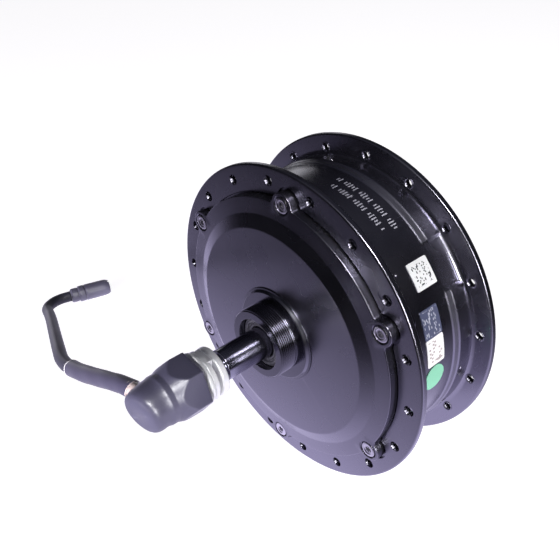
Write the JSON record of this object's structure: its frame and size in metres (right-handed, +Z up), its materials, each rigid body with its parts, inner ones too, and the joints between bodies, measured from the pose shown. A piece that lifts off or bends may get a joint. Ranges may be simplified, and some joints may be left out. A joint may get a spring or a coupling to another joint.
{
  "type": "geared hub motor",
  "caption": "Geared rear hub motor with spoke flanges, freewheel thread, disc brake seat, threaded axle with rubber end caps, and a motor cable with a plug.",
  "frame": {"origin": "on the axle's centre line, halfway between the two dropout faces", "axes": "-Y along the axle to the drive side, +X across the axle flats, +Z up"},
  "size_m": [0.2783, 0.2142, 0.162],
  "materials": {
    "black_paint": "satin black",
    "steel_dark": "dark machined steel",
    "steel_bright": "bright machined steel",
    "zinc": "bright zinc plated",
    "aluminium": "as cast",
    "copper": "enamelled copper wire",
    "brass": "plated contacts",
    "black_rubber": "matt black",
    "clear_rubber": "glossy, pale pink-grey",
    "nylon": "natural nylon",
    "paper": "white label",
    "foil": "silver label",
    "green_paper": "pale green label",
    "green_board": "circuit board"
  },
  "bodies": {
    "axle_and_stator": {"axle": "steel_dark", "planet_carrier": "steel_dark", "stator_core": "steel_dark", "planet_pin_1": "steel_bright", "planet_pin_2": "steel_bright", "planet_pin_3": "steel_bright", "one_way_clutch": "steel_bright", "bearing_drive_inner": "steel_bright", "bearing_brake_inner": "steel_bright", "bearing_rotor_inner": "steel_bright", "washer_drive": "zinc", "washer_brake": "zinc", "tab_washer_drive": "zinc", "tab_washer_brake": "zinc", "axle_nut_drive": "zinc", "axle_nut_brake": "zinc", "stator_support": "aluminium", "stator_winding": "copper", "phase_leads": "copper", "connector_insert": "brass", "cap_drive": "black_rubber", "cap_brake": "black_rubber", "axle_cable": "black_rubber", "cable_sleeve": "black_rubber", "motor_cable": "black_rubber", "connector_boot": "black_rubber", "connector_body": "black_rubber", "cable_jacket": "clear_rubber", "hall_board": "green_board"},
    "shell": {"hub_shell": "black_paint", "drive_cover": "black_paint", "cover_screw_1": "steel_bright", "cover_screw_2": "steel_bright", "cover_screw_3": "steel_bright", "cover_screw_4": "steel_bright", "cover_screw_5": "steel_bright", "cover_screw_6": "steel_bright", "cover_oring": "black_rubber", "freewheel_boss": "black_paint", "ring_gear": "steel_dark", "ring_gear_screw_1": "steel_bright", "ring_gear_screw_2": "steel_bright", "ring_gear_screw_3": "steel_bright", "bearing_drive_outer": "steel_bright", "bearing_brake_outer": "steel_bright", "seal_drive": "black_rubber", "seal_brake": "black_rubber", "code_label": "paper", "rating_label": "foil", "round_sticker": "green_paper"},
    "rotor": {"rotor_can": "steel_dark", "magnet_ring": "steel_bright", "sun_gear": "steel_dark", "bearing_rotor_outer": "steel_bright"},
    "cage_drive": {"ball_cage_drive": "steel_bright"},
    "cage_brake": {"ball_cage_brake": "steel_bright"},
    "cage_rotor": {"ball_cage_rotor": "steel_bright"},
    "planet_1": {"planet_gear_1": "nylon"},
    "planet_2": {"planet_gear_2": "nylon"},
    "planet_3": {"planet_gear_3": "nylon"}
  },
  "joints": [
    {"name": "hub_spin", "type": "hinge", "parent": "axle_and_stator", "child": "shell", "pos_m": [0, 0, 0], "axis": [0, -1, 0], "continuous": true},
    {"name": "rotor_spin", "type": "hinge", "parent": "axle_and_stator", "child": "rotor", "pos_m": [0, 0, 0], "axis": [0, -1, 0], "continuous": true},
    {"name": "planet_spin_1", "type": "hinge", "parent": "axle_and_stator", "child": "planet_1", "pos_m": [0, -0.0202, 0.02925], "axis": [0, -1, 0], "continuous": true},
    {"name": "planet_spin_2", "type": "hinge", "parent": "axle_and_stator", "child": "planet_2", "pos_m": [-0.02533, -0.0202, -0.01463], "axis": [0, -1, 0], "continuous": true},
    {"name": "planet_spin_3", "type": "hinge", "parent": "axle_and_stator", "child": "planet_3", "pos_m": [0.02533, -0.0202, -0.01463], "axis": [0, -1, 0], "continuous": true},
    {"name": "cage_spin_drive", "type": "hinge", "parent": "axle_and_stator", "child": "cage_drive", "pos_m": [0, 0, 0], "axis": [0, -1, 0], "continuous": true},
    {"name": "cage_spin_brake", "type": "hinge", "parent": "axle_and_stator", "child": "cage_brake", "pos_m": [0, 0, 0], "axis": [0, -1, 0], "continuous": true},
    {"name": "cage_spin_rotor", "type": "hinge", "parent": "axle_and_stator", "child": "cage_rotor", "pos_m": [0, 0, 0], "axis": [0, -1, 0], "continuous": true}
  ],
  "couplings": [
    {"joint": "rotor_spin", "follows": "hub_spin", "ratio": -4.2},
    {"joint": "planet_spin_1", "follows": "hub_spin", "ratio": 2.625},
    {"joint": "planet_spin_2", "follows": "hub_spin", "ratio": 2.625},
    {"joint": "planet_spin_3", "follows": "hub_spin", "ratio": 2.625},
    {"joint": "cage_spin_drive", "follows": "hub_spin", "ratio": 0.5744},
    {"joint": "cage_spin_brake", "follows": "hub_spin", "ratio": 0.5744},
    {"joint": "cage_spin_rotor", "follows": "hub_spin", "ratio": -2.3015}
  ]
}
